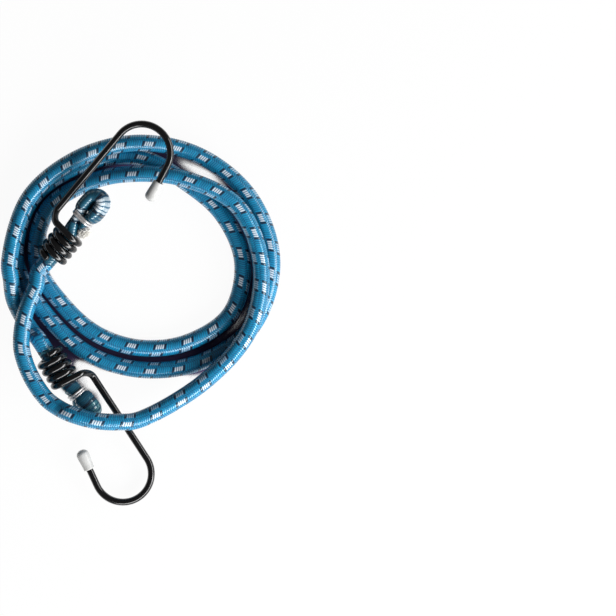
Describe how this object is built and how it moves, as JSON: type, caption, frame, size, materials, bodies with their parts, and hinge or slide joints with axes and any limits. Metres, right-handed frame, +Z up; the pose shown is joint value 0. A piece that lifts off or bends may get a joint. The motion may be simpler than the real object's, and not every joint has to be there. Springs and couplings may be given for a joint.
{
  "type": "bungee cord",
  "caption": "Coiled elastic cord in a braided sheath, folded back through the wound eye of a coated wire hook with a plastic tip at each end.",
  "frame": {"origin": "on the table under the middle of the coiled cord's box", "axes": "+Z up from the table it lies on, +Y towards the end whose hook lies on top of the coil, +X to the right seen from above"},
  "size_m": [0.131, 0.1806, 0.0286],
  "materials": {
    "braided_sheath": "braided polyester yarn, blue with white blocks and dark ticks",
    "rubber_core": "bundle of pale rubber strands",
    "coated_wire": "glossy black coating on steel wire",
    "tip_plastic": "soft white plastic",
    "ring_wire": "bright wire"
  },
  "bodies": {
    "cord": {"cord_sheath": "braided_sheath", "cord_core": "rubber_core", "stretch_a_sheath": "braided_sheath", "stretch_a_core": "rubber_core", "end_b_sheath": "braided_sheath", "end_b_core": "rubber_core", "ring_b": "ring_wire"},
    "end_a": {"end_a_sheath": "braided_sheath", "end_a_core": "rubber_core", "ring_a": "ring_wire"},
    "hook_a": {"hook_a": "coated_wire", "tip_a": "tip_plastic"},
    "hook_b": {"hook_b": "coated_wire", "tip_b": "tip_plastic"}
  },
  "joints": [
    {"name": "end_a_stretch", "type": "slide", "parent": "cord", "child": "end_a", "axis": [0.6392, 0.7511, 0.165], "range_m": [0, 0.05], "stiffness_N_per_m": 1800, "deforming": ["stretch_a_sheath", "stretch_a_core"]},
    {"name": "hook_a_swivel", "type": "hinge", "parent": "end_a", "child": "hook_a", "pos_m": [-0.037, 0.0325, 0.0152], "axis": [0.6392, 0.7511, 0.165], "range_deg": [-25, 18]},
    {"name": "hook_b_swivel", "type": "hinge", "parent": "cord", "child": "hook_b", "pos_m": [-0.039, -0.0268, 0.00825], "axis": [0.5436, -0.8371, -0.061], "range_deg": [-11, 10]}
  ]
}
